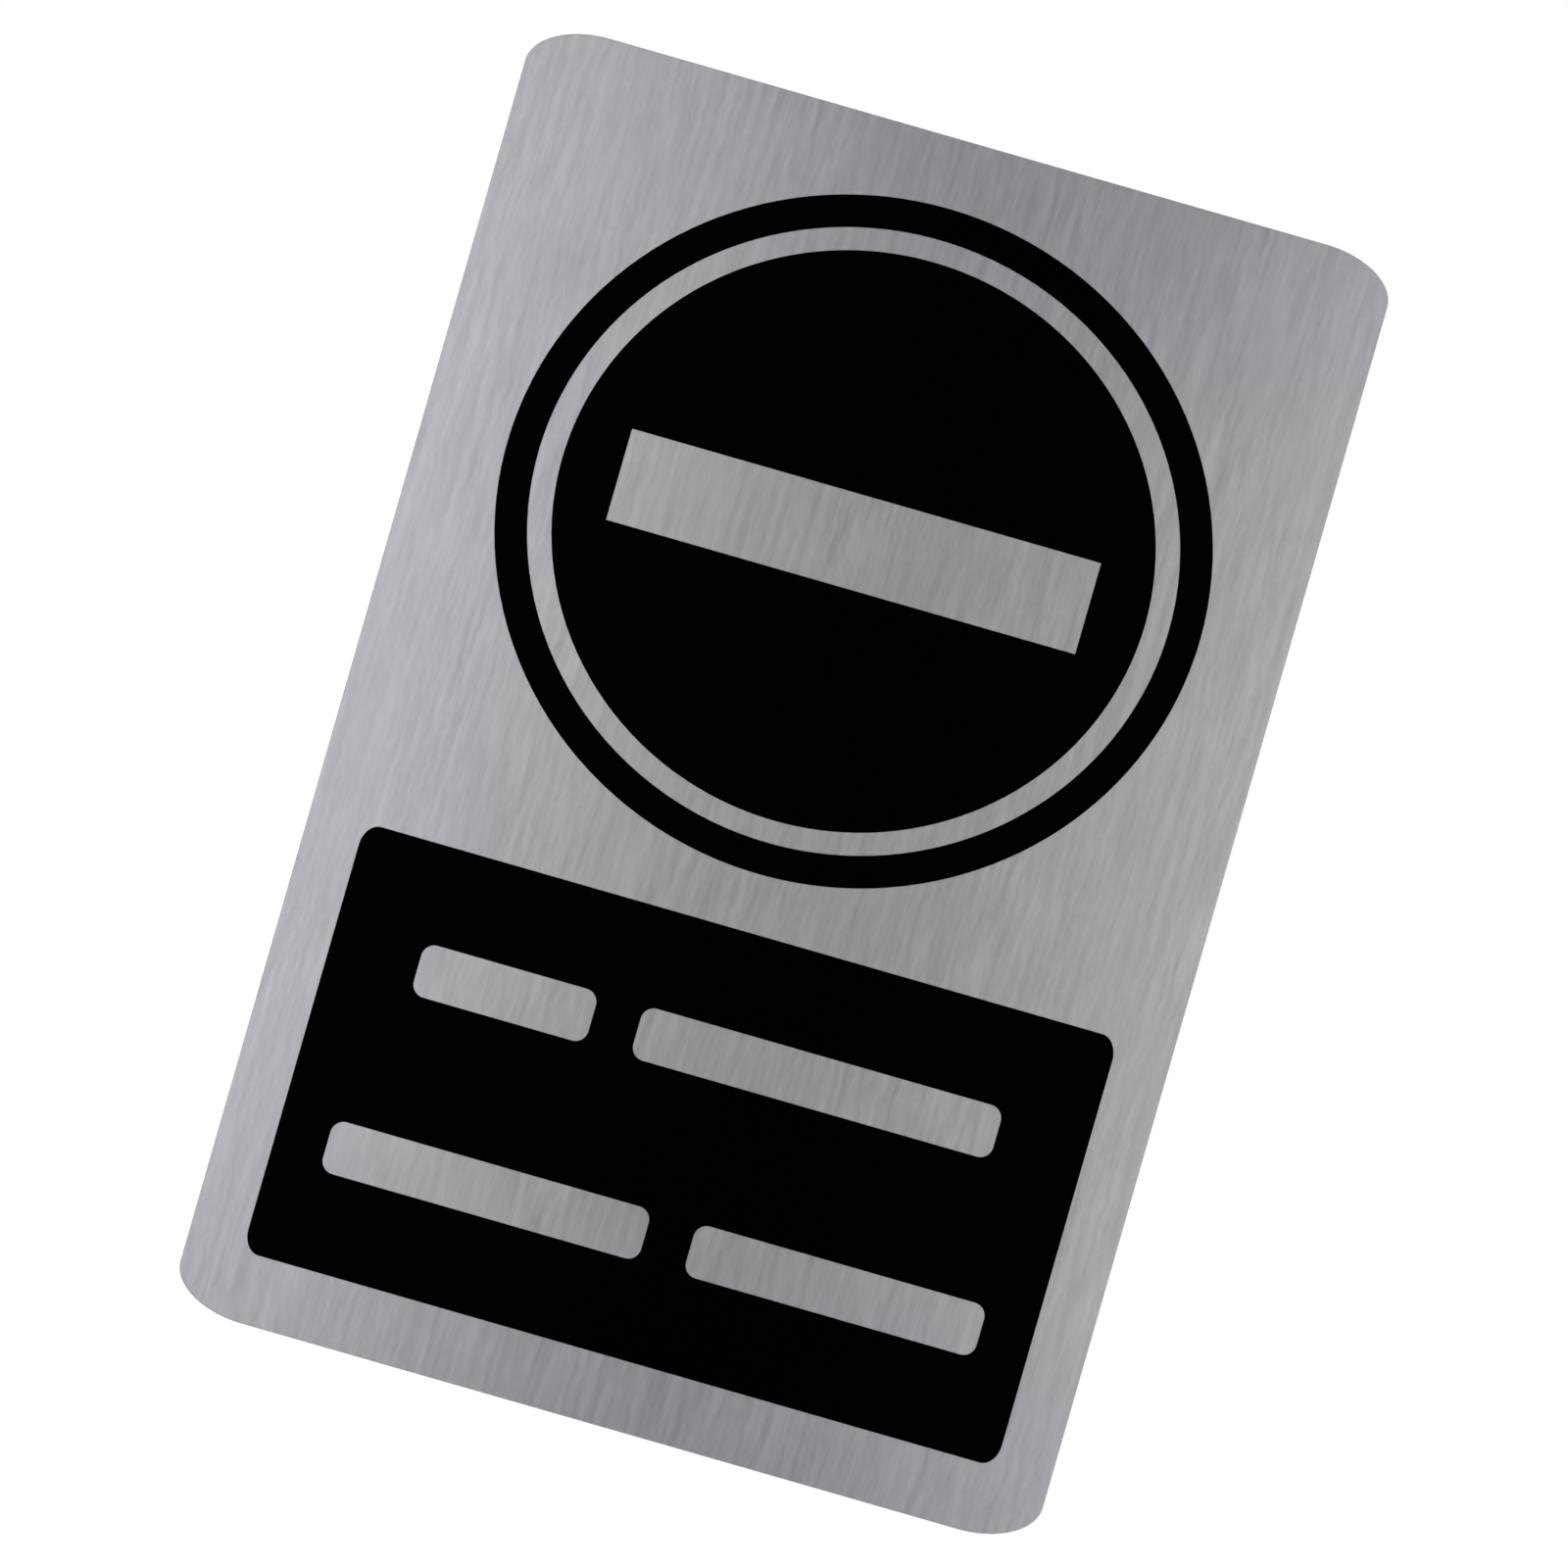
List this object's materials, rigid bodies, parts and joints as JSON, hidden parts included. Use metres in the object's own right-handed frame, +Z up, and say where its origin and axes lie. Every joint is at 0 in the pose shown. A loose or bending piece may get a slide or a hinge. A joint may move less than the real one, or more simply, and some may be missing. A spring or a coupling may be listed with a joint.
{
  "type": "no entry sign",
  "caption": "Flat upright door or wall sign: a brushed aluminium sheet with a black ring, a barred black disc and a black panel below.",
  "frame": {"origin": "centre of the flat back face, on the surface that the sign is bonded to", "axes": "+Z up the sign's height, +X to the right as seen from the front, +Y into the wall, so the printed face looks towards -Y"},
  "size_m": [0.2, 0.0016, 0.298],
  "materials": {
    "brushed_metal": "satin",
    "black_print": "matte"
  },
  "bodies": {
    "root": {"sign_plate": "brushed_metal", "ring_print": "black_print", "disc_print": "black_print", "panel_print": "black_print"}
  },
  "joints": []
}
